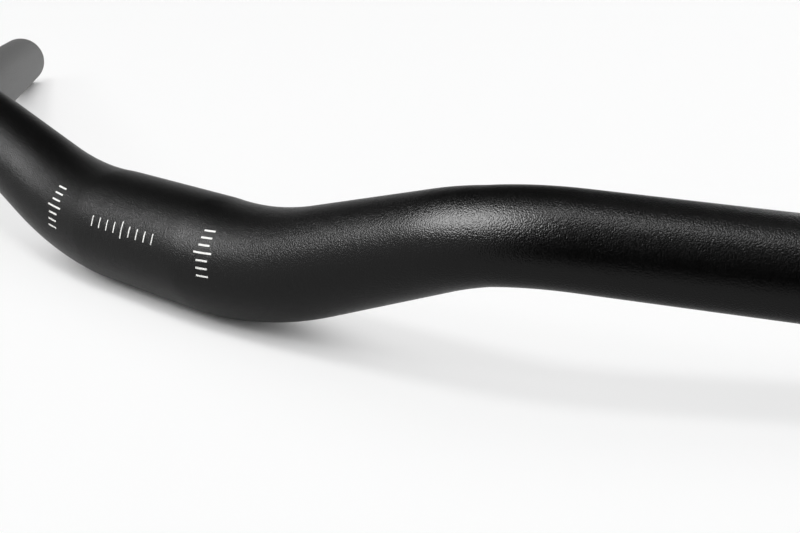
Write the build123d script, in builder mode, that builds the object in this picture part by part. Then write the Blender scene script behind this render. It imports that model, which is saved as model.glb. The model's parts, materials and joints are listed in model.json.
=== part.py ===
from build123d import *
from math import asin, atan2, cos, degrees, hypot, radians, sin, sqrt, tan
import os

# A riser handlebar: one aluminium tube, thick where the stem clamps it, tapered to the grips
# and bent twice on each side. Lengths are in millimetres and angles in degrees.
# X runs along the clamp zone's axis and the origin is its middle. The bar lies as it comes to
# rest on a level surface: on the clamp zone's underside and on the rims of both ends.

# Tube
clamp_diameter = 31.8
clamp_wall = 2.6
grip_diameter = 22.2
grip_wall = 2.1
end_chamfer = 0.5

# Lengths
bar_width = 720.0  # between the centres of the two ends
clamp_length = 52.0  # straight and at full diameter
grip_lead = 22.0  # the taper ends this far before the end of the upper bend

# Bends, seen with the bar upright: the corners that its axis is bent round
rise = 24.0  # height of the upper corner over the clamp zone's axis
rise_angle = 16.0
back_sweep = 30.5
up_sweep = -1.0
lower_bend_radius = 160.0
upper_bend_radius = 60.0

# Corners of one half of the axis, upright
clamp_radius = clamp_diameter / 2
grip_radius = grip_diameter / 2
rise_line = Vector(cos(radians(rise_angle)), 0, sin(radians(rise_angle)))
grip_line = Vector(1, tan(radians(back_sweep)), tan(radians(up_sweep))).normalized()
middle = Vector(0, 0, 0)
lower_corner = Vector(clamp_length / 2 + lower_bend_radius * tan(radians(rise_angle / 2)), 0, 0)
upper_corner = lower_corner + rise_line * (rise / sin(radians(rise_angle)))
bar_end = upper_corner + grip_line * ((bar_width / 2 - upper_corner.X) / grip_line.X)


def resting_lean(passes=5):
    """Angle that the upright bar leans back, until its end rims are level with the clamp's underside."""
    rim = bar_end - grip_line * end_chamfer
    lean = 0
    for _ in range(passes):
        grip_slope = grip_line.rotate(Axis.X, -lean).Z
        rim_drop = grip_radius * sqrt(1 - grip_slope**2)
        drop = (clamp_radius - rim_drop) / hypot(rim.Y, rim.Z)
        lean = degrees(atan2(rim.Z, rim.Y) + asin(drop))
    return lean


lean = resting_lean()
corners = [corner.rotate(Axis.X, -lean) for corner in (middle, lower_corner, upper_corner, bar_end)]

with BuildLine() as bent_axis:
    FilletPolyline(*corners, radius=[lower_bend_radius, upper_bend_radius])

# Places along one half of the axis, as distances from the bar's middle
half_axis = bent_axis.wire()
half_length = half_axis.length
clamp_end = clamp_length / 2
grip_start = half_length - half_axis.edges().sort_by(Axis.X)[-1].length
taper_end = grip_start - grip_lead


def stretch(start, end):
    """The axis between two places."""
    return half_axis.trim(start / half_length, end / half_length)


def across(place):
    """The plane square to the axis at a place."""
    along = half_axis.tangent_at(place, PositionMode.LENGTH)
    point = half_axis.position_at(place, PositionMode.LENGTH)
    return Plane(origin=point, x_dir=along.cross(Vector(0, 0, 1)), z_dir=along)


# Outside first, then the bore that leaves a wall, thicker in the middle than at the grips
outside = (clamp_radius, grip_radius, Mode.ADD)
bore = (clamp_radius - clamp_wall, grip_radius - grip_wall, Mode.SUBTRACT)

with BuildPart() as handlebar:
    for thick_radius, thin_radius, mode in (outside, bore):
        # Clamp zone
        with BuildSketch(across(0)):
            Circle(thick_radius)
        extrude(amount=clamp_end, mode=mode)
        # Taper, through the lower bend and into the upper one
        with BuildSketch(across(clamp_end)):
            Circle(thick_radius)
        with BuildSketch(across(taper_end)):
            Circle(thin_radius)
        sweep(path=stretch(clamp_end, taper_end), multisection=True, mode=mode)
        # Rest of the upper bend
        with BuildSketch(across(taper_end)):
            Circle(thin_radius)
        sweep(path=stretch(taper_end, grip_start), mode=mode)
        # Grip
        with BuildSketch(across(grip_start)):
            Circle(thin_radius)
        extrude(amount=half_length - grip_start, mode=mode)
    end_ring = handlebar.faces().filter_by(GeomType.PLANE).sort_by(Axis.X)[-1]
    chamfer(end_ring.edges(), length=end_chamfer)
    mirror(about=Plane.YZ)

os.makedirs("parts", exist_ok=True)
handlebar.part.label = "handlebar"
export_step(handlebar.part, "parts/handlebar.step")
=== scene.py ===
import json
from math import asin, atan2, cos, hypot, pi, radians, sin, sqrt, tan

import bpy
from bpy.props import FloatProperty, FloatVectorProperty, IntProperty, PointerProperty
from mathutils import Matrix, Vector


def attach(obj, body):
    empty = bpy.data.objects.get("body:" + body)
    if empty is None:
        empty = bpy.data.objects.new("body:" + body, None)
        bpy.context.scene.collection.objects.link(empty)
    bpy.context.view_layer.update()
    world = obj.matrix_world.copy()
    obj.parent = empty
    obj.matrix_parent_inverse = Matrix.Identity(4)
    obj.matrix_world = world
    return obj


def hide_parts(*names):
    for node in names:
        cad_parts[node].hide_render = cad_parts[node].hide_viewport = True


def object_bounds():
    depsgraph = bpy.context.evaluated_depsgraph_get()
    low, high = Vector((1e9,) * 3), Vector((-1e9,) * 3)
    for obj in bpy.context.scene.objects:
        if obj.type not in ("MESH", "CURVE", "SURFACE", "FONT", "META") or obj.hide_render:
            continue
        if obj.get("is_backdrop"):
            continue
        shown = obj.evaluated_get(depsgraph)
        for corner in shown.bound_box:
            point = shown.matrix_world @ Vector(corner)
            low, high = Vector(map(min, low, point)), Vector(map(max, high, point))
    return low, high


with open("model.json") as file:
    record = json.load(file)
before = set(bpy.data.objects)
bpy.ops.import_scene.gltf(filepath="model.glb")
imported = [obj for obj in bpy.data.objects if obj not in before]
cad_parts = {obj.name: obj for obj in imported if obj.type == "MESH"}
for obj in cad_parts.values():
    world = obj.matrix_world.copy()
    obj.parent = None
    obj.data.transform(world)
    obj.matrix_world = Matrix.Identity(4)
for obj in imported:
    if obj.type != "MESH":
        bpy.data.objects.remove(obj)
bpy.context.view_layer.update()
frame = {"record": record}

bl_info = {
    "name": "Riser Handlebar",
    "version": (1, 0, 0),
    "blender": (4, 5, 0),
    "location": "View3D > Sidebar > Handlebar",
    "description": "Dresses the frame of a riser handlebar and sets it on a studio floor",
    "category": "Object",
}

MM = 0.001
BODY = "root"
BAR_NODE = "handlebar"
TUBE_ATTRIBUTE = "straight_tube"
BAR_PIECE = "bent_tube"
MARKS_PIECE = "clamp_scale"

# Softboxes, all at one distance from the point they face: azimuth in degrees from the bar's front
# towards its left end, elevation in degrees, and side of the square in metres
AIM = (0.13, 0, 0)
BOX_DISTANCE = 3.0
KEY_BOX = (-37, 38, 1.8)
KEY_CORE = (-37, 38, 0.6)
TOP_BOX = (3, 75, 0.7)
BACK_BOX = (-160, 16, 0.9)
REAR_BOX = (150, 40, 1.5)
FILL_BOX = (0, 90, 6.0)

# The clamp zone and the grips have their diameters and lengths from the frame's mounts.
mounts = {mount["name"]: mount for mount in frame["record"]["mounts"]}
grip_mount = mounts["left_grip"]
clamp_dims = mounts["stem_clamp"]["dims"]
grip_dims = grip_mount["dims"]
end_dims = mounts["left_bar_end"]["dims"]


def linear(hex_colour):
    """A scene-linear colour from an sRGB hex value such as #1C1C1E."""
    shares = [int(hex_colour[i : i + 2], 16) / 255 for i in (1, 3, 5)]
    return tuple(s / 12.92 if s <= 0.04045 else ((s + 0.055) / 1.055) ** 2.4 for s in shares)


def length(name, description, default):
    """A length in metres for a property group."""
    return FloatProperty(
        name=name, description=description, default=default, min=0, precision=4, unit="LENGTH"
    )


def angle(name, description, degrees):
    """An angle for a property group, given in degrees."""
    return FloatProperty(name=name, description=description, default=radians(degrees), unit="ROTATION")


def colour(name, description, hex_colour):
    """A colour for a property group, given as an sRGB hex value."""
    return FloatVectorProperty(
        name=name, description=description, default=linear(hex_colour), subtype="COLOR", min=0, max=1
    )


def share(name, description, default):
    """A plain number from 0 to 1 for a property group."""
    return FloatProperty(name=name, description=description, default=default, min=0, max=1, subtype="FACTOR")


def count(name, description, default, least):
    """A whole number for a property group."""
    return IntProperty(name=name, description=description, default=default, min=least)


def power(name, description, default):
    """The power of a lamp for a property group."""
    return FloatProperty(name=name, description=description, default=default, min=0, unit="POWER")


class BarSizes(bpy.types.PropertyGroup):
    """The tube and its bends, given with the bar upright as it is ridden."""

    clamp_diameter: length(
        "Clamp Diameter", "Outside, where the stem holds the bar", 2 * clamp_dims["r_mm"] * MM
    )
    clamp_length: length("Clamp Length", "Straight middle at full diameter", clamp_dims["length_mm"] * MM)
    clamp_wall: length("Clamp Wall", "Wall in the middle of the bar", 2.6 * MM)
    grip_diameter: length("Grip Diameter", "Outside, where grips and levers go", 2 * grip_dims["r_mm"] * MM)
    grip_wall: length("Grip Wall", "Wall at the grips", (grip_dims["r_mm"] - end_dims["r_mm"]) * MM)
    grip_lead: length("Grip Lead", "The taper ends this far before the end of the upper bend", 22 * MM)
    end_chamfer: length("End Chamfer", "Broken edges of the cut ends", 0.5 * MM)
    width: length("Width", "Between the centres of the two ends", 720 * MM)
    rise: length("Rise", "Height of the upper corner over the clamp zone's axis", 24 * MM)
    rise_angle: angle("Rise Angle", "Slope of the stretch between the two bends", 16)
    back_sweep: angle("Back Sweep", "Turn of the grips towards the rider", 30.5)
    up_sweep: angle("Up Sweep", "Slope of the grips along the bar", -1)
    lower_bend_radius: length("Lower Bend Radius", "Bend beside the clamp zone", 160 * MM)
    upper_bend_radius: length("Upper Bend Radius", "Bend before the grip", 60 * MM)
    steps_around: count("Steps Around", "Faces round the tube", 112, 12)
    step_length: length("Step Length", "Longest face along the tube", 2 * MM)
    bend_steps: count("Bend Steps", "Straight steps in each bend of the axis", 64, 8)


class BarFinish(bpy.types.PropertyGroup):
    """The blasted skin, the turned ends and the drawn bore, all anodised, and the printed scales."""

    black: colour("Black", "Dyed oxide on the aluminium", "#212121")
    roughness: share("Roughness", "Gloss of the metal between its dimples and lines", 0.33)
    grain: length("Grain", "Width of one dimple of the blasting", 0.33 * MM)
    grain_depth: length("Grain Depth", "Depth of the dimples", 0.08 * MM)
    edge_tint: colour("Edge Tint", "Share of a plain metal's shine left where it is seen aslant", "#CCCCCC")
    tool_pitch: length("Tool Pitch", "Distance between the rings on a cut end", 0.25 * MM)
    tool_depth: length("Tool Depth", "Depth of the rings on a cut end and the lines in the bore", 0.01 * MM)
    draw_line: length("Drawing Line", "Breadth of the lines in the bore", 0.4 * MM)
    ink: colour("Ink", "Print of the scale", "#EFEFEC")
    thin_ink: colour("Thin Ink", "Print where it lies thin", "#D2D2CE")
    ink_roughness: share("Ink Roughness", "Gloss of the print", 0.6)


class ScaleSizes(bpy.types.PropertyGroup):
    """The printed scales that a stem is lined up with: a ruler in the middle, a roll scale at each side."""

    ruler_ticks: count("Ruler Ticks", "Lines in the ruler", 9, 1)
    ruler_length: length("Ruler Tick Length", "Length of a short line of the ruler", 3 * MM)
    ruler_pitch: length("Ruler Pitch", "Distance between lines of the ruler", 4 * MM)
    roll_ticks: count("Roll Ticks", "Lines in each roll scale", 7, 1)
    roll_length: length("Roll Tick Length", "Length of a short line of a roll scale", 5 * MM)
    roll_pitch: length("Roll Pitch", "Distance between lines of a roll scale", 2 * MM)
    roll_place: length("Roll Place", "From the middle of the bar to each roll scale", 40 * MM)
    tick_width: length("Tick Width", "Breadth of one line", 0.5 * MM)
    turn: angle("Turn", "How far the scales sit above the front of the tube", 24)
    ink_film: length("Ink Film", "Thickness of the print", 0.05 * MM)


class StageSettings(bpy.types.PropertyGroup):
    """Floor, black flag, light and camera."""

    floor_colour: colour("Floor", "White card under the bar", "#FAFAFA")
    floor_size: length("Floor Size", "Side of the square floor", 40)
    # The floor's own white in these two settings is a painted glow, which is taken off near the bar as
    # painted shade
    floor_glow: share("Floor Glow", "Share of the open floor's white that is its own", 0.74)
    shade_reach: length("Shade Reach", "How near the bar has to be to dim the floor's own white", 60 * MM)
    sweep: share("Sweep", "Level of the white sweep round the floor's edge", 0.9)
    sweep_top: angle("Sweep Top", "Elevation up to which the sweep is white", 4)
    room: share("Room", "Level of the dim room above the sweep", 0.04)
    room_start: angle("Room Start", "Elevation from which the room is dim", 14)
    key_glint: power("Key Glint", "Softbox before the bar's right half, as the metal shows it", 345)
    key_light: power("Key Light", "Core of the same softbox, as it lights matt things", 15)
    top_glint: power("Top Glint", "Softbox over the bar, as the metal shows it", 38)
    top_light: power("Top Light", "The same softbox, as it lights matt things", 42)
    back_glint: power("Back Glint", "Low softbox behind the bar's right half, as the metal shows it", 55)
    rear_glint: power("Rear Glint", "High softbox behind the bar's left half, as the metal shows it", 350)
    fill_light: power("Fill Light", "Broad light from the ceiling on matt things", 100)
    flag_distance: length("Flag Distance", "From the left grip's axis to the black flag before it", 68 * MM)
    flag_shift: length("Flag Shift", "From the middle of the left grip towards the bar's middle", 32 * MM)
    flag_width: length("Flag Width", "Length of the black flag along the grip", 300 * MM)
    flag_height: length("Flag Height", "Height of the black flag over the floor", 170 * MM)
    camera_place: FloatVectorProperty(
        name="Camera Place",
        description="Where the camera stands",
        default=(381.9 * MM, -217.2 * MM, 122.3 * MM),
        subtype="TRANSLATION",
    )
    camera_yaw: angle("Camera Yaw", "Turn of the view from straight back towards the bar's right end", 52.12)
    camera_pitch: angle("Camera Pitch", "How far the camera looks down", 17.44)
    camera_roll: angle("Camera Roll", "Tilt of the picture", -5.435)
    lens: FloatProperty(
        name="Lens", description="Focal length in millimetres", default=73, min=1, unit="CAMERA"
    )


def add(tree, kind, inputs=None, **settings):
    """Adds a node with its settings, and links or sets its inputs by name or number."""
    node = tree.nodes.new(kind)
    for name, value in settings.items():
        setattr(node, name, value)
    for key, value in (inputs or {}).items():
        if isinstance(value, bpy.types.NodeSocket):
            tree.links.new(value, node.inputs[key])
        else:
            node.inputs[key].default_value = value
    return node


def new_tree(name, inputs, outputs):
    """A Geometry Nodes tree with named sockets, and its group input and output nodes."""
    tree = bpy.data.node_groups.new(name, "GeometryNodeTree")
    for in_out, sockets in (("INPUT", inputs), ("OUTPUT", outputs)):
        for socket_name, kind in sockets:
            tree.interface.new_socket(socket_name, in_out=in_out, socket_type="NodeSocket" + kind)
    return tree, tree.nodes.new("NodeGroupInput").outputs, tree.nodes.new("NodeGroupOutput").inputs


AXIS_SOCKETS = [
    ("Lower Corner", "Vector"),
    ("Upper Corner", "Vector"),
    ("Bar End", "Vector"),
    ("Lower Bend Radius", "Float"),
    ("Upper Bend Radius", "Float"),
    ("Bend Steps", "Int"),
]
TAPER_SOCKETS = [("Taper Start", "Float"), ("Taper End", "Float")]


def axis_tree():
    """Tree of the bent axis: six mirrored corners, rounded by the two bend radii."""
    tree, given, result = new_tree("bar_axis", AXIS_SOCKETS, [("Axis", "Geometry")])
    corner_count = 6
    index = add(tree, "GeometryNodeInputIndex")
    from_middle = add(
        tree, "ShaderNodeMath", {0: index.outputs[0], 1: (corner_count - 1) / 2}, operation="SUBTRACT"
    )
    side = add(tree, "ShaderNodeMath", {0: from_middle.outputs[0]}, operation="SIGN")
    steps_out = add(tree, "ShaderNodeMath", {0: from_middle.outputs[0]}, operation="ABSOLUTE")
    corner = add(tree, "ShaderNodeMath", {0: steps_out.outputs[0]}, operation="FLOOR")
    place = add(tree, "GeometryNodeIndexSwitch", data_type="VECTOR")
    radius = add(tree, "GeometryNodeIndexSwitch", data_type="FLOAT")
    for switch, sockets in (
        (place, ("Lower Corner", "Upper Corner", "Bar End")),
        (radius, ("Lower Bend Radius", "Upper Bend Radius")),
    ):
        switch.index_switch_items.new()
        tree.links.new(corner.outputs[0], switch.inputs["Index"])
        for number, socket in enumerate(sockets):
            tree.links.new(given[socket], switch.inputs[str(number)])
    mirror = add(tree, "ShaderNodeCombineXYZ", {"X": side.outputs[0], "Y": 1.0, "Z": 1.0})
    mirrored = add(
        tree, "ShaderNodeVectorMath", {0: place.outputs[0], 1: mirror.outputs[0]}, operation="MULTIPLY"
    )
    corners = add(tree, "GeometryNodePoints", {"Count": corner_count, "Position": mirrored.outputs[0]})
    line = add(tree, "GeometryNodePointsToCurves", {"Points": corners.outputs[0]})
    rounded = add(
        tree,
        "GeometryNodeFilletCurve",
        {"Curve": line.outputs[0], "Count": given["Bend Steps"], "Radius": radius.outputs[0]},
        mode="POLY",
    )
    level = add(tree, "GeometryNodeSetCurveNormal", {"Curve": rounded.outputs[0]}, mode="Z_UP")
    tree.links.new(level.outputs[0], result["Axis"])
    return tree


def taper_tree():
    """Tree of the radius along the bar: even in the middle, a straight taper, even at the grips."""
    sockets = [("Place", "Float"), ("Middle Radius", "Float"), ("Grip Radius", "Float")] + TAPER_SOCKETS
    tree, given, result = new_tree("bar_taper", sockets, [("Radius", "Float")])
    from_middle = add(tree, "ShaderNodeMath", {0: given["Place"]}, operation="ABSOLUTE")
    radius = add(
        tree,
        "ShaderNodeMapRange",
        {
            "Value": from_middle.outputs[0],
            "From Min": given["Taper Start"],
            "From Max": given["Taper End"],
            "To Min": given["Middle Radius"],
            "To Max": given["Grip Radius"],
        },
    )
    tree.links.new(radius.outputs[0], result["Radius"])
    return tree


def bend_tree():
    """Tree that lays a point of the straight tube on the bent axis. Angle 0 is the bar's front."""
    sockets = [("Axis", "Geometry"), ("Place", "Float"), ("Angle", "Float"), ("Radius", "Float")]
    tree, given, result = new_tree("bar_bend", sockets, [("Position", "Vector")])
    axis_length = add(tree, "GeometryNodeCurveLength", {"Curve": given["Axis"]})
    along = add(
        tree,
        "ShaderNodeMath",
        {0: axis_length.outputs[0], 1: 0.5, 2: given["Place"]},
        operation="MULTIPLY_ADD",
    )
    axis = add(
        tree,
        "GeometryNodeSampleCurve",
        {"Curves": given["Axis"], "Length": along.outputs[0]},
        mode="LENGTH",
        use_all_curves=True,
    )
    front = axis.outputs["Normal"]
    top = add(tree, "ShaderNodeVectorMath", {0: front, 1: axis.outputs["Tangent"]}, operation="CROSS_PRODUCT")
    point = axis.outputs["Position"]
    for direction, turn in ((front, "COSINE"), (top.outputs[0], "SINE")):
        part = add(tree, "ShaderNodeMath", {0: given["Angle"]}, operation=turn)
        reach = add(tree, "ShaderNodeMath", {0: part.outputs[0], 1: given["Radius"]}, operation="MULTIPLY")
        step = add(tree, "ShaderNodeVectorMath", {0: direction, "Scale": reach.outputs[0]}, operation="SCALE")
        point = add(tree, "ShaderNodeVectorMath", {0: point, 1: step.outputs[0]}, operation="ADD").outputs[0]
    tree.links.new(point, result["Position"])
    return tree


def subtree(tree, group, inputs):
    """Adds a group node to a tree, with each of its sockets linked by name."""
    node = tree.nodes.new("GeometryNodeGroup")
    node.node_tree = group
    for name, socket in inputs.items():
        tree.links.new(socket, node.inputs[name])
    return node


def tube_tree(axis_group, taper_group, bend_group, skin, cut_end, bore):
    """Tree of the bar: the wall's long section is spun into a straight tube, tapered, then bent."""
    sockets = AXIS_SOCKETS + TAPER_SOCKETS + [
        ("Clamp Diameter", "Float"),
        ("Clamp Wall", "Float"),
        ("Grip Diameter", "Float"),
        ("Grip Wall", "Float"),
        ("End Chamfer", "Float"),
        ("Steps Around", "Int"),
        ("Step Length", "Float"),
    ]
    tree, given, result = new_tree("bar_tube", sockets, [("Geometry", "Geometry")])
    axis = subtree(tree, axis_group, {name: given[name] for name, _ in AXIS_SOCKETS}).outputs[0]
    axis_length = add(tree, "GeometryNodeCurveLength", {"Curve": axis})

    # Section of the wall, with its length along X and its thickness along Y
    section = add(
        tree,
        "GeometryNodeCurvePrimitiveQuadrilateral",
        {"Width": axis_length.outputs[0], "Height": given["Grip Wall"]},
    )
    chamfered = add(
        tree,
        "GeometryNodeFilletCurve",
        {"Curve": section.outputs[0], "Count": 1, "Radius": given["End Chamfer"]},
        mode="POLY",
    )
    here = add(tree, "GeometryNodeInputPosition")
    next_point = add(tree, "GeometryNodeOffsetPointInCurve", {"Offset": 1})
    there = add(
        tree,
        "GeometryNodeFieldAtIndex",
        {"Value": here.outputs[0], "Index": next_point.outputs["Point Index"]},
        data_type="FLOAT_VECTOR",
    )
    side = add(tree, "ShaderNodeVectorMath", {0: here.outputs[0], 1: there.outputs[0]}, operation="DISTANCE")
    steps = add(
        tree, "ShaderNodeMath", {0: side.outputs["Value"], 1: given["Step Length"]}, operation="DIVIDE"
    )
    stepped = add(
        tree, "GeometryNodeSubdivideCurve", {"Curve": chamfered.outputs[0], "Cuts": steps.outputs[0]}
    )
    wall = add(tree, "GeometryNodeCaptureAttribute")
    wall.capture_items.new("VECTOR", "Section")
    tree.links.new(stepped.outputs[0], wall.inputs["Geometry"])
    tree.links.new(here.outputs[0], wall.inputs["Section"])

    # Ring that the section is spun round
    circle = add(tree, "GeometryNodeCurvePrimitiveCircle", {"Resolution": given["Steps Around"]})
    index = add(tree, "GeometryNodeInputIndex")
    turns = add(tree, "ShaderNodeMath", {0: index.outputs[0], 1: given["Steps Around"]}, operation="DIVIDE")
    turned = add(tree, "ShaderNodeMath", {0: turns.outputs[0], 1: 2 * pi}, operation="MULTIPLY")
    ring = add(tree, "GeometryNodeCaptureAttribute")
    ring.capture_items.new("FLOAT", "Angle")
    tree.links.new(circle.outputs[0], ring.inputs["Geometry"])
    tree.links.new(turned.outputs[0], ring.inputs["Angle"])
    blank = add(
        tree,
        "GeometryNodeCurveToMesh",
        {"Curve": ring.outputs["Geometry"], "Profile Curve": wall.outputs["Geometry"]},
    )
    around = ring.outputs["Angle"]

    # Radius from the two tapers: 0 is the bore and 1 the outside
    spot = add(tree, "ShaderNodeSeparateXYZ", {0: wall.outputs["Section"]})
    place = spot.outputs["X"]
    radii = []
    for wall_share in (1.0, 0.0):
        pair = []
        for diameter, thickness in (("Clamp Diameter", "Clamp Wall"), ("Grip Diameter", "Grip Wall")):
            half = add(tree, "ShaderNodeMath", {0: given[diameter], 1: 0.5}, operation="MULTIPLY")
            cut = add(tree, "ShaderNodeMath", {0: given[thickness], 1: wall_share}, operation="MULTIPLY")
            left = add(tree, "ShaderNodeMath", {0: half.outputs[0], 1: cut.outputs[0]}, operation="SUBTRACT")
            pair.append(left.outputs[0])
        taper = {name: given[name] for name, _ in TAPER_SOCKETS}
        taper.update({"Place": place, "Middle Radius": pair[0], "Grip Radius": pair[1]})
        radii.append(subtree(tree, taper_group, taper).outputs[0])
    layer = add(tree, "ShaderNodeMath", {0: spot.outputs["Y"], 1: given["Grip Wall"]}, operation="DIVIDE")
    outwards = add(tree, "ShaderNodeMath", {0: layer.outputs[0], 1: 0.5}, operation="ADD")
    radius = add(
        tree,
        "ShaderNodeMapRange",
        {"Value": outwards.outputs[0], "To Min": radii[0], "To Max": radii[1]},
    ).outputs[0]
    bent_point = subtree(tree, bend_group, {"Axis": axis, "Place": place, "Angle": around, "Radius": radius})
    outward = add(tree, "GeometryNodeFlipFaces", {"Mesh": blank.outputs[0]})
    bent = add(
        tree, "GeometryNodeSetPosition", {"Geometry": outward.outputs[0], "Position": bent_point.outputs[0]}
    )

    # The straight tube's own coordinates stay on the mesh for lines that follow the bends
    across = []
    for turn in ("COSINE", "SINE"):
        part = add(tree, "ShaderNodeMath", {0: around}, operation=turn)
        reach = add(tree, "ShaderNodeMath", {0: part.outputs[0], 1: radius}, operation="MULTIPLY")
        across.append(reach.outputs[0])
    straight = add(tree, "ShaderNodeCombineXYZ", {"X": place, "Y": across[0], "Z": across[1]})
    stored = add(
        tree,
        "GeometryNodeStoreNamedAttribute",
        {"Geometry": bent.outputs[0], "Name": TUBE_ATTRIBUTE, "Value": straight.outputs[0]},
        data_type="FLOAT_VECTOR",
    )

    # Smooth all over but at the cut ends' edges
    smooth = add(tree, "GeometryNodeSetShadeSmooth", {"Geometry": stored.outputs[0]})
    least_fold = radians(25)
    fold = add(tree, "GeometryNodeInputMeshEdgeAngle")
    corner = add(
        tree, "FunctionNodeCompare", {"A": fold.outputs[0], "B": least_fold}, operation="GREATER_THAN"
    )
    edged = add(
        tree,
        "GeometryNodeSetShadeSmooth",
        {"Geometry": smooth.outputs[0], "Selection": corner.outputs[0], "Shade Smooth": False},
        domain="EDGE",
    )
    whole = add(tree, "GeometryNodeRealizeInstances", {"Geometry": edged.outputs[0]}).outputs[0]

    # The skin goes on everywhere, the turned finish on all that lies under it, and the drawn one on the bore
    margin = 0.01
    for limit, material in ((1 + margin, skin), (1 - margin, cut_end), (margin, bore)):
        within = add(
            tree, "FunctionNodeCompare", {"A": outwards.outputs[0], "B": limit}, operation="LESS_THAN"
        )
        whole = add(
            tree,
            "GeometryNodeSetMaterial",
            {"Geometry": whole, "Selection": within.outputs[0], "Material": material},
        ).outputs[0]
    tree.links.new(whole, result["Geometry"])
    return tree


def scale_tree(axis_group, taper_group, bend_group, ink):
    """Tree of the printed scale: rows of ticks laid out flat, then wrapped on the bent tube."""
    sockets = AXIS_SOCKETS + TAPER_SOCKETS + [
        ("Clamp Diameter", "Float"),
        ("Grip Diameter", "Float"),
        ("Ruler Ticks", "Int"),
        ("Ruler Length", "Float"),
        ("Ruler Pitch", "Float"),
        ("Roll Ticks", "Int"),
        ("Roll Length", "Float"),
        ("Roll Pitch", "Float"),
        ("Roll Place", "Float"),
        ("Tick Width", "Float"),
        ("Turn", "Float"),
        ("Ink Film", "Float"),
    ]
    tree, given, result = new_tree("bar_scale", sockets, [("Geometry", "Geometry")])
    axis = subtree(tree, axis_group, {name: given[name] for name, _ in AXIS_SOCKETS}).outputs[0]

    # Each row is a ladder of ticks with a longer one in the middle. The ruler's lies on its side.
    middle_stretch = 1.6
    middle_reach = 0.25  # in pitches, which only the middle tick of an odd row is within
    index = add(tree, "GeometryNodeInputIndex")
    rows = tree.nodes.new("GeometryNodeJoinGeometry")
    for kind, side, turn in (("Roll", -1, 0), ("Roll", 1, 0), ("Ruler", 0, pi / 2)):
        ticks = given[kind + " Ticks"]
        half = add(tree, "ShaderNodeMath", {0: ticks, 1: 0.5, 2: -0.5}, operation="MULTIPLY_ADD")
        number = add(tree, "ShaderNodeMath", {0: index.outputs[0], 1: half.outputs[0]}, operation="SUBTRACT")
        height = add(
            tree, "ShaderNodeMath", {0: number.outputs[0], 1: given[kind + " Pitch"]}, operation="MULTIPLY"
        )
        spot = add(tree, "ShaderNodeCombineXYZ", {"Y": height.outputs[0]})
        points = add(tree, "GeometryNodePoints", {"Count": ticks, "Position": spot.outputs[0]})
        from_middle = add(tree, "ShaderNodeMath", {0: number.outputs[0]}, operation="ABSOLUTE")
        middle = add(
            tree,
            "FunctionNodeCompare",
            {"A": from_middle.outputs[0], "B": middle_reach},
            operation="LESS_THAN",
        )
        longer = add(
            tree, "ShaderNodeMapRange", {"Value": middle.outputs[0], "To Min": 1.0, "To Max": middle_stretch}
        )
        stretch = add(tree, "ShaderNodeCombineXYZ", {"X": longer.outputs[0], "Y": 1.0, "Z": 1.0})
        size = add(
            tree,
            "ShaderNodeCombineXYZ",
            {"X": given[kind + " Length"], "Y": given["Tick Width"], "Z": given["Ink Film"]},
        )
        tick = add(tree, "GeometryNodeMeshCube", {"Size": size.outputs[0], "Vertices X": 9, "Vertices Y": 3})
        row = add(
            tree,
            "GeometryNodeInstanceOnPoints",
            {"Points": points.outputs[0], "Instance": tick.outputs[0], "Scale": stretch.outputs[0]},
        )
        along = add(tree, "ShaderNodeMath", {0: given["Roll Place"], 1: side}, operation="MULTIPLY")
        shift = add(tree, "ShaderNodeCombineXYZ", {"X": along.outputs[0]})
        laid = add(
            tree,
            "GeometryNodeTransform",
            {"Geometry": row.outputs[0], "Translation": shift.outputs[0], "Rotation": (0, 0, turn)},
        )
        tree.links.new(laid.outputs[0], rows.inputs[0])
    flat = add(tree, "GeometryNodeRealizeInstances", {"Geometry": rows.outputs[0]})

    # Wrap: X is the place along the bar, Y runs round the tube, Z lifts off it
    here = add(tree, "GeometryNodeInputPosition")
    spot = add(tree, "ShaderNodeSeparateXYZ", {0: here.outputs[0]})
    taper = {name: given[name] for name, _ in TAPER_SOCKETS}
    taper["Place"] = spot.outputs["X"]
    for socket, diameter in (("Middle Radius", "Clamp Diameter"), ("Grip Radius", "Grip Diameter")):
        half = add(tree, "ShaderNodeMath", {0: given[diameter], 1: 0.5}, operation="MULTIPLY")
        taper[socket] = half.outputs[0]
    surface = subtree(tree, taper_group, taper).outputs[0]
    bow = add(tree, "ShaderNodeMath", {0: spot.outputs["Y"], 1: surface}, operation="DIVIDE")
    turned = add(tree, "ShaderNodeMath", {0: bow.outputs[0], 1: given["Turn"]}, operation="ADD")
    lifted = add(tree, "ShaderNodeMath", {0: surface, 1: spot.outputs["Z"]}, operation="ADD")
    wrapped_point = subtree(
        tree,
        bend_group,
        {"Axis": axis, "Place": spot.outputs["X"], "Angle": turned.outputs[0], "Radius": lifted.outputs[0]},
    )
    wrapped = add(
        tree, "GeometryNodeSetPosition", {"Geometry": flat.outputs[0], "Position": wrapped_point.outputs[0]}
    )
    inked = add(tree, "GeometryNodeSetMaterial", {"Geometry": wrapped.outputs[0], "Material": ink})
    tree.links.new(inked.outputs[0], result["Geometry"])
    return tree


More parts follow.
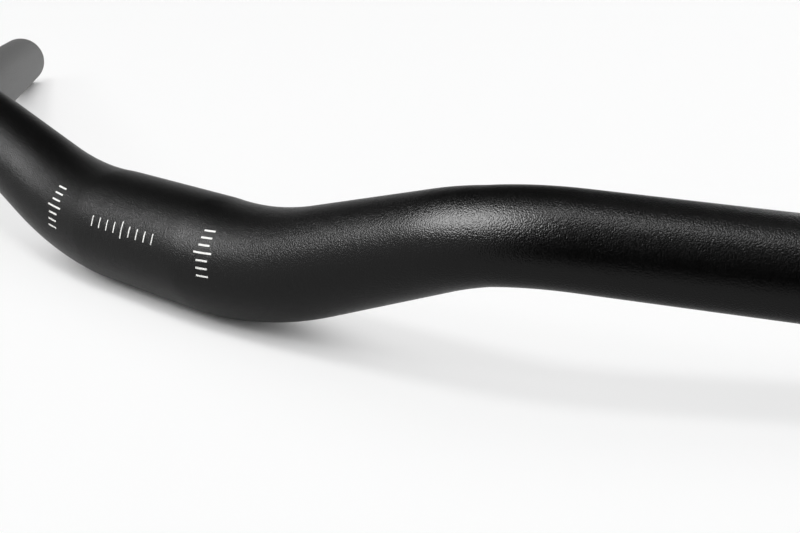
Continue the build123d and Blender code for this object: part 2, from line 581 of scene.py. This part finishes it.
def bake(name, tree, values):
    """Runs a tree with its inputs set by name, and returns the result as an object with a plain mesh."""
    piece = bpy.data.objects.new(name, bpy.data.meshes.new(name))
    bpy.context.scene.collection.objects.link(piece)
    modifier = piece.modifiers.new(tree.name, "NODES")
    modifier.node_group = tree
    for item in tree.interface.items_tree:
        if item.in_out == "INPUT":
            modifier[item.identifier] = values[item.name]
    graph = bpy.context.evaluated_depsgraph_get()
    evaluated = piece.evaluated_get(graph)
    mesh = bpy.data.meshes.new_from_object(evaluated, preserve_all_data_layers=True, depsgraph=graph)
    piece.modifiers.clear()
    piece.data = mesh
    mesh.name = name
    if not mesh.polygons:
        raise RuntimeError(f"{name} came out empty")
    # A mesh primitive of the tree leaves an empty slot before the material that is set on it.
    for slot in reversed(range(len(mesh.materials))):
        if mesh.materials[slot] is None:
            mesh.materials.pop(index=slot)
    return piece


def resting_corners(bar, passes=5):
    """Corners of one half of the axis, with the bar leaned back on its clamp zone and its two ends."""
    clamp_radius = bar.clamp_diameter / 2
    grip_radius = bar.grip_diameter / 2
    rise_line = Vector((cos(bar.rise_angle), 0, sin(bar.rise_angle)))
    grip_line = Vector((1, tan(bar.back_sweep), tan(bar.up_sweep))).normalized()
    lower = Vector((bar.clamp_length / 2 + bar.lower_bend_radius * tan(bar.rise_angle / 2), 0, 0))
    upper = lower + rise_line * (bar.rise / sin(bar.rise_angle))
    end = upper + grip_line * ((bar.width / 2 - upper.x) / grip_line.x)
    rim = end - grip_line * bar.end_chamfer
    lean = 0
    for _ in range(passes):
        grip_slope = (Matrix.Rotation(-lean, 3, "X") @ grip_line).z
        drop = clamp_radius - grip_radius * sqrt(1 - grip_slope**2)
        lean = atan2(rim.z, rim.y) + asin(drop / hypot(rim.y, rim.z))
    return [Matrix.Rotation(-lean, 3, "X") @ corner for corner in (lower, upper, end)]


def bend_length(before, corner, after, radius):
    """Tangent length and arc length of a rounded corner."""
    turn = (corner - before).angle(after - corner)
    return radius * tan(turn / 2), radius * turn


def socket_values(group):
    """A group's settings under the names of their sockets, such as Clamp Wall for clamp_wall."""
    return {name.replace("_", " ").title(): getattr(group, name) for name in group.__annotations__}


def bar_inputs(bar):
    """Values for the sockets that the trees share."""
    lower, upper, end = resting_corners(bar)
    lower_tangent, lower_arc = bend_length(Vector(), lower, upper, bar.lower_bend_radius)
    upper_tangent, upper_arc = bend_length(lower, upper, end, bar.upper_bend_radius)
    slope = (upper - lower).length - lower_tangent - upper_tangent
    grip_start = lower.length - lower_tangent + lower_arc + slope + upper_arc
    return {
        **socket_values(bar),
        "Lower Corner": lower,
        "Upper Corner": upper,
        "Bar End": end,
        "Taper Start": bar.clamp_length / 2,
        "Taper End": grip_start - bar.grip_lead,
    }


def shared_trees():
    """The axis, taper and bend trees, made once and then reused."""
    makers = {"bar_axis": axis_tree, "bar_taper": taper_tree, "bar_bend": bend_tree}
    return [bpy.data.node_groups.get(name) or make() for name, make in makers.items()]


def new_material(name):
    """An empty node material with a Principled shader."""
    material = bpy.data.materials.new(name)
    material.use_nodes = True
    tree = material.node_tree
    return material, tree, tree.nodes["Principled BSDF"]


def black_metal(name, finish):
    """A node material with the shader of black anodised aluminium, which shines little at its edges."""
    material, tree, shader = new_material(name)
    shader.inputs["Base Color"].default_value = (*finish.black, 1)
    shader.inputs["Metallic"].default_value = 1.0
    shader.inputs["Specular Tint"].default_value = (*finish.edge_tint, 1)
    return material, tree, shader


def roughen(tree, shader, pattern, roughness, depth):
    """Lets a pattern of 0 to 1 vary a shader's gloss a little and raise its surface."""
    low, high = 0.3, 0.7  # most of a pattern's values lie between these
    swing = 0.05
    gloss = add(
        tree,
        "ShaderNodeMapRange",
        {
            "Value": pattern,
            "From Min": low,
            "From Max": high,
            "To Min": roughness - swing,
            "To Max": roughness + swing,
        },
    )
    relief = add(tree, "ShaderNodeBump", {"Strength": 1.0, "Distance": depth, "Height": pattern})
    tree.links.new(gloss.outputs[0], shader.inputs["Roughness"])
    tree.links.new(relief.outputs[0], shader.inputs["Normal"])


def dimples(tree, finish):
    """The pattern of the blasting, which is drawn coarser than the real 0.1 mm so that it shows."""
    place = add(tree, "ShaderNodeTexCoord").outputs["Object"]
    grain = add(tree, "ShaderNodeTexNoise", {"Vector": place, "Scale": 1 / finish.grain, "Detail": 0.0})
    return grain.outputs["Fac"]


def blasted_anodised(finish):
    """Bead-blasted aluminium, dyed black in its oxide: a deep matt black whose fine even dimples
    break a highlight into a soft sparkling band."""
    material, tree, shader = black_metal("anodised_aluminium_bead_blasted", finish)
    roughen(tree, shader, dimples(tree, finish), finish.roughness, finish.grain_depth)
    return material


def turned_anodised(finish):
    """Turned and anodised cut end: the same black, shinier, with fine rings that the tool left."""
    material, tree, shader = black_metal("anodised_aluminium_turned", finish)
    spot = add(tree, "ShaderNodeAttribute", attribute_name=TUBE_ATTRIBUTE).outputs["Vector"]
    across = add(tree, "ShaderNodeVectorMath", {0: spot, 1: (0, 1, 1)}, operation="MULTIPLY")
    radius = add(tree, "ShaderNodeVectorMath", {0: across.outputs[0]}, operation="LENGTH")
    wave_period = 2 * pi / 20  # of the texture along X, at scale 1
    rings = add(
        tree,
        "ShaderNodeTexWave",
        {"Vector": radius.outputs["Value"], "Scale": wave_period / finish.tool_pitch, "Distortion": 0.4},
        bands_direction="X",
    )
    roughen(tree, shader, rings.outputs["Fac"], finish.roughness, finish.tool_depth)
    return material


def drawn_anodised(finish):
    """Drawn bore, anodised with the rest: smoother than the skin, with faint lines along the tube."""
    material, tree, shader = black_metal("anodised_aluminium_drawn", finish)
    spot = add(tree, "ShaderNodeAttribute", attribute_name=TUBE_ATTRIBUTE).outputs["Vector"]
    stretch = 100  # length of a line over its breadth
    drawn_out = add(tree, "ShaderNodeVectorMath", {0: spot, 1: (1 / stretch, 1, 1)}, operation="MULTIPLY")
    lines = add(
        tree,
        "ShaderNodeTexNoise",
        {"Vector": drawn_out.outputs[0], "Scale": 1 / finish.draw_line, "Detail": 2.0},
    )
    roughen(tree, shader, lines.outputs["Fac"], finish.roughness, finish.tool_depth)
    return material


def printed_ink(finish):
    """White screen-printed ink: chalky, and thinner and greyer on the high points of the blasting."""
    material, tree, shader = new_material("screen_printed_ink")
    grain = dimples(tree, finish)
    cover = add(
        tree,
        "ShaderNodeMix",
        {"Factor": grain, "A": (*finish.ink, 1), "B": (*finish.thin_ink, 1)},
        data_type="RGBA",
    )
    tree.links.new(cover.outputs["Result"], shader.inputs["Base Color"])
    roughen(tree, shader, grain, finish.ink_roughness, finish.grain_depth / 2)
    return material


def white_card(stage):
    """Matt white card for the studio floor, an even white that takes soft shadows. Where the sky over
    it is open, the camera and the metal see it mixed with a painted white glow that stands in for more
    light, so that it doesn't grey far from the lamps. Close to the bar an ambient-occlusion mask takes
    the glow off, which paints shade there on top of the lamps' own shadow."""
    material, tree, shader = new_material("matt_white_card")
    shader.inputs["Base Color"].default_value = (*stage.floor_colour, 1)
    shader.inputs["Roughness"].default_value = 0.9
    shader.inputs["Specular IOR Level"].default_value = 0.1
    ray = add(tree, "ShaderNodeLightPath").outputs
    seen = ray["Is Camera Ray"]
    for kind in ("Is Glossy Ray", "Is Transmission Ray"):
        seen = add(tree, "ShaderNodeMath", {0: seen, 1: ray[kind]}, operation="MAXIMUM").outputs[0]
    # Painted shade: ambient occlusion takes the painted glow off the floor close to the bar. The card's own
    # white below is that painted glow.
    open_sky = add(tree, "ShaderNodeAmbientOcclusion", {"Distance": stage.shade_reach}).outputs["AO"]
    open_enough = 0.6  # share of open sky from which the card has all of its own white
    painted_glow_mask = add(
        tree,
        "ShaderNodeMapRange",
        {"Value": open_sky, "From Max": open_enough, "To Max": stage.floor_glow},
        interpolation_type="SMOOTHSTEP",
    )
    glow = add(tree, "ShaderNodeMath", {0: seen, 1: painted_glow_mask.outputs[0]}, operation="MULTIPLY")
    # Painted glow: an emission of the floor's white, in place of more light on the open floor
    white = add(tree, "ShaderNodeEmission", {"Color": (*stage.floor_colour, 1), "Strength": 1.0})
    mixed = add(tree, "ShaderNodeMixShader", {0: glow.outputs[0], 1: shader.outputs[0], 2: white.outputs[0]})
    tree.links.new(mixed.outputs[0], tree.nodes["Material Output"].inputs["Surface"])
    return material


def black_felt():
    """Black wool felt, pressed: a dead matt black that swallows nearly all light. Only the flag wears it,
    whose dark reflection in the metal is painted shade.
    """
    material, _, shader = new_material("painted_shade_felt")
    shader.inputs["Base Color"].default_value = (*linear("#0F0F0F"), 1)
    shader.inputs["Roughness"].default_value = 1.0
    shader.inputs["Specular IOR Level"].default_value = 0.0
    return material


class HANDLEBAR_OT_tube(bpy.types.Operator):
    """Make the bent tube in place of the frame's bar"""

    bl_idname = "handlebar.tube"
    bl_label = "Bent Tube"

    def execute(self, context):
        bar, finish = context.scene.bar_sizes, context.scene.bar_finish
        materials = blasted_anodised(finish), turned_anodised(finish), drawn_anodised(finish)
        tree = tube_tree(*shared_trees(), *materials)
        tube = bake(BAR_PIECE, tree, bar_inputs(bar))
        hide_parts(BAR_NODE)
        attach(tube, BODY)
        return {"FINISHED"}


class HANDLEBAR_OT_scale(bpy.types.Operator):
    """Print the scale that a stem is lined up with"""

    bl_idname = "handlebar.scale"
    bl_label = "Printed Scale"

    def execute(self, context):
        bar, finish, scale = context.scene.bar_sizes, context.scene.bar_finish, context.scene.bar_scale
        tree = scale_tree(*shared_trees(), printed_ink(finish))
        marks = bake(MARKS_PIECE, tree, {**bar_inputs(bar), **socket_values(scale)})
        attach(marks, BODY)
        return {"FINISHED"}


def stage_panel(name, corners, material):
    """A flat four-cornered piece of the stage."""
    mesh = bpy.data.meshes.new(name)
    mesh.from_pydata(corners, [], [(0, 1, 2, 3)])
    mesh.materials.append(material)
    panel = bpy.data.objects.new(name, mesh)
    bpy.context.scene.collection.objects.link(panel)
    panel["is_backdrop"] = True
    return panel


def add_floor(stage, floor_z):
    """The white floor."""
    half = stage.floor_size / 2
    corners = [(x * half, y * half, floor_z) for x, y in ((-1, -1), (1, -1), (1, 1), (-1, 1))]
    stage_panel("floor", corners, white_card(stage))


def add_flag(stage, floor_z):
    """A black flag that stands along the left grip and is seen only in the metal: a painted dark
    reflection that stands in for the shade on the floor before the bar, and keeps the underside of the shine
    dark."""
    along = Vector((*grip_mount["axis"][:2], 0)).normalized()
    front = along.cross(Vector((0, 0, 1)))
    middle = Vector(grip_mount["pos_m"]) + front * stage.flag_distance - along * stage.flag_shift
    half = along * (stage.flag_width / 2)
    corners = [
        (*(middle + reach).xy, floor_z + height)
        for reach, height in ((-half, 0), (half, 0), (half, stage.flag_height), (-half, stage.flag_height))
    ]
    flag = stage_panel("painted_shade_flag", corners, black_felt())
    # Painted shade: hidden from all but the metal's reflections, so it casts no shadow and only paints a dark
    # reflection
    for ray in ("camera", "diffuse", "transmission", "volume_scatter", "shadow"):
        setattr(flag, "visible_" + ray, False)


def light_room(stage):
    """The world: a white sweep round the floor's edge, and a dim room above it."""
    world = bpy.data.worlds.new("studio")
    bpy.context.scene.world = world
    world.use_nodes = True
    tree = world.node_tree
    direction = add(tree, "ShaderNodeTexCoord").outputs["Generated"]
    height = add(tree, "ShaderNodeSeparateXYZ", {0: direction}).outputs["Z"]
    level = add(
        tree,
        "ShaderNodeMapRange",
        {
            "Value": height,
            "From Min": sin(stage.sweep_top),
            "From Max": sin(stage.room_start),
            "To Min": stage.sweep,
            "To Max": stage.room,
        },
        interpolation_type="SMOOTHSTEP",
    )
    tree.links.new(level.outputs[0], tree.nodes["Background"].inputs["Strength"])
    tree.nodes["Background"].inputs["Color"].default_value = (1, 1, 1, 1)


def add_softboxes(stage):
    """The lamps. A camera set for white card sees little of a lamp in black metal, so the key and the
    top softbox are pairs of lamps: one shows in the metal and the other lights the matt things. The
    softboxes behind the bar only show in the metal, and the ceiling only lights the matt things."""
    for name, (azimuth, elevation, size), energy, hidden in (
        ("key_glint", KEY_BOX, stage.key_glint, "visible_diffuse"),
        ("key_light", KEY_CORE, stage.key_light, "visible_glossy"),
        ("top_glint", TOP_BOX, stage.top_glint, "visible_diffuse"),
        ("top_light", TOP_BOX, stage.top_light, "visible_glossy"),
        ("back_glint", BACK_BOX, stage.back_glint, "visible_diffuse"),
        ("rear_glint", REAR_BOX, stage.rear_glint, "visible_diffuse"),
        ("fill_light", FILL_BOX, stage.fill_light, "visible_glossy"),
    ):
        lamp = bpy.data.lights.new(name, "AREA")
        lamp.size = size
        lamp.energy = energy
        softbox = bpy.data.objects.new(name, lamp)
        turn = Matrix.Rotation(radians(azimuth), 4, "Z")
        tip = Matrix.Rotation(radians(90 - elevation), 4, "X")
        away = Matrix.Translation((0, 0, BOX_DISTANCE))
        softbox.matrix_world = Matrix.Translation(AIM) @ turn @ tip @ away
        softbox.visible_camera = False
        setattr(softbox, hidden, False)
        bpy.context.scene.collection.objects.link(softbox)


def add_camera(stage):
    """The camera, where the photograph was taken from."""
    view = bpy.data.cameras.new("camera")
    view.sensor_fit = "HORIZONTAL"
    view.sensor_width = 36  # millimetres, a full frame
    view.lens = stage.lens
    view.clip_start = 0.01
    camera = bpy.data.objects.new("camera", view)
    turn = Matrix.Rotation(stage.camera_yaw, 4, "Z")
    tip = Matrix.Rotation(pi / 2 - stage.camera_pitch, 4, "X")
    tilt = Matrix.Rotation(stage.camera_roll, 4, "Z")
    camera.matrix_world = Matrix.Translation(stage.camera_place) @ turn @ tip @ tilt
    bpy.context.scene.collection.objects.link(camera)
    bpy.context.scene.camera = camera


class HANDLEBAR_OT_stage(bpy.types.Operator):
    """Set up the floor, the flag, the light and the camera"""

    bl_idname = "handlebar.stage"
    bl_label = "Stage"

    def execute(self, context):
        stage = context.scene.stage_settings
        floor_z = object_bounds()[0][2]
        add_floor(stage, floor_z)
        add_flag(stage, floor_z)
        light_room(stage)
        add_softboxes(stage)
        add_camera(stage)
        context.scene.view_settings.view_transform = "Standard"
        return {"FINISHED"}


OPERATORS = (HANDLEBAR_OT_tube, HANDLEBAR_OT_scale, HANDLEBAR_OT_stage)
GROUPS = {
    "bar_sizes": BarSizes,
    "bar_finish": BarFinish,
    "bar_scale": ScaleSizes,
    "stage_settings": StageSettings,
}


class HANDLEBAR_PT_panel(bpy.types.Panel):
    """Lists the handlebar's operators and their settings"""

    bl_idname = "HANDLEBAR_PT_panel"
    bl_label = "Riser Handlebar"
    bl_space_type = "VIEW_3D"
    bl_region_type = "UI"
    bl_category = "Handlebar"

    def draw(self, context):
        for operator in OPERATORS:
            self.layout.operator(operator.bl_idname)
        for name in GROUPS:
            group = getattr(context.scene, name)
            box = self.layout.box()
            for setting in group.__annotations__:
                box.prop(group, setting)


CLASSES = (*GROUPS.values(), *OPERATORS, HANDLEBAR_PT_panel)


def register():
    """Registers the classes and puts their settings on the scene."""
    for cls in CLASSES:
        bpy.utils.register_class(cls)
    for name, group in GROUPS.items():
        setattr(bpy.types.Scene, name, PointerProperty(type=group))


def unregister():
    """Takes the settings off the scene and unregisters the classes."""
    for name in GROUPS:
        delattr(bpy.types.Scene, name)
    for cls in reversed(CLASSES):
        bpy.utils.unregister_class(cls)


def main():
    """Builds the dressed handlebar on its stage."""
    register()
    bpy.ops.handlebar.tube()
    bpy.ops.handlebar.scale()
    bpy.ops.handlebar.stage()


if __name__ == "__main__":
    main()
